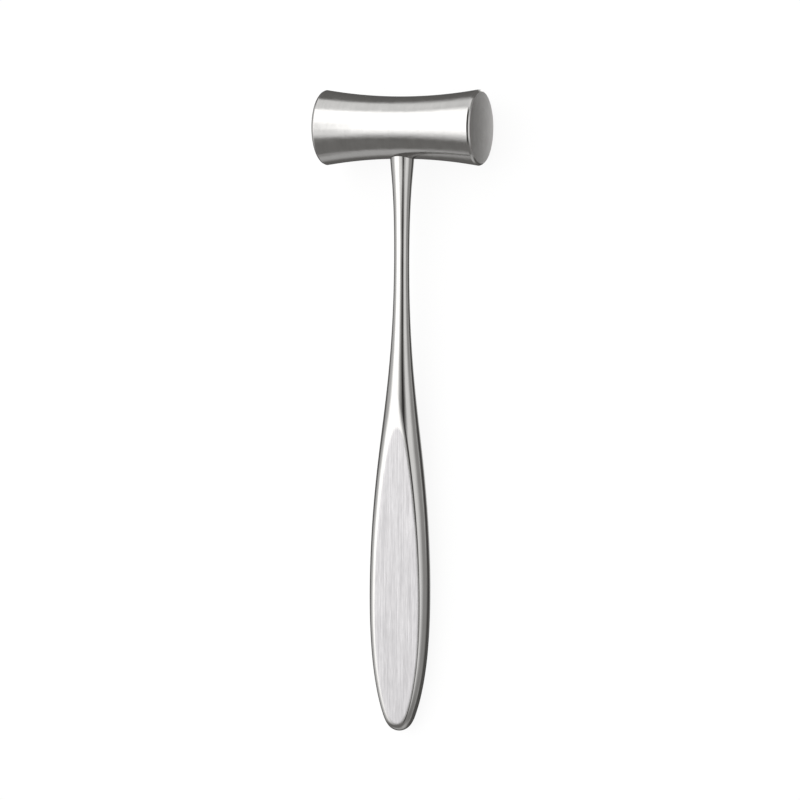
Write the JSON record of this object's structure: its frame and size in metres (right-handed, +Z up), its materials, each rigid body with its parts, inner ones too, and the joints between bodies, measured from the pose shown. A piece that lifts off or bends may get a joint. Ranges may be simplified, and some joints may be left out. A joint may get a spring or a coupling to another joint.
{
  "type": "surgical mallet",
  "caption": "Solid steel surgical mallet: a waisted round head with a bevelled striking face at each end, on a slim round neck that swells into a flattened grip.",
  "frame": {"origin": "centre of the bounding box on the surface the mallet lies on", "axes": "+X along the head's axis, +Y from the grip's butt end towards the head, +Z up as the mallet lies on both rims and the lower end of the grip"},
  "size_m": [0.058, 0.2198, 0.0256],
  "materials": {
    "head_steel": "turned and polished",
    "handle_steel": "polished neck and edges, flats brushed lengthwise"
  },
  "bodies": {
    "root": {"head": "head_steel", "handle": "handle_steel"}
  },
  "joints": []
}
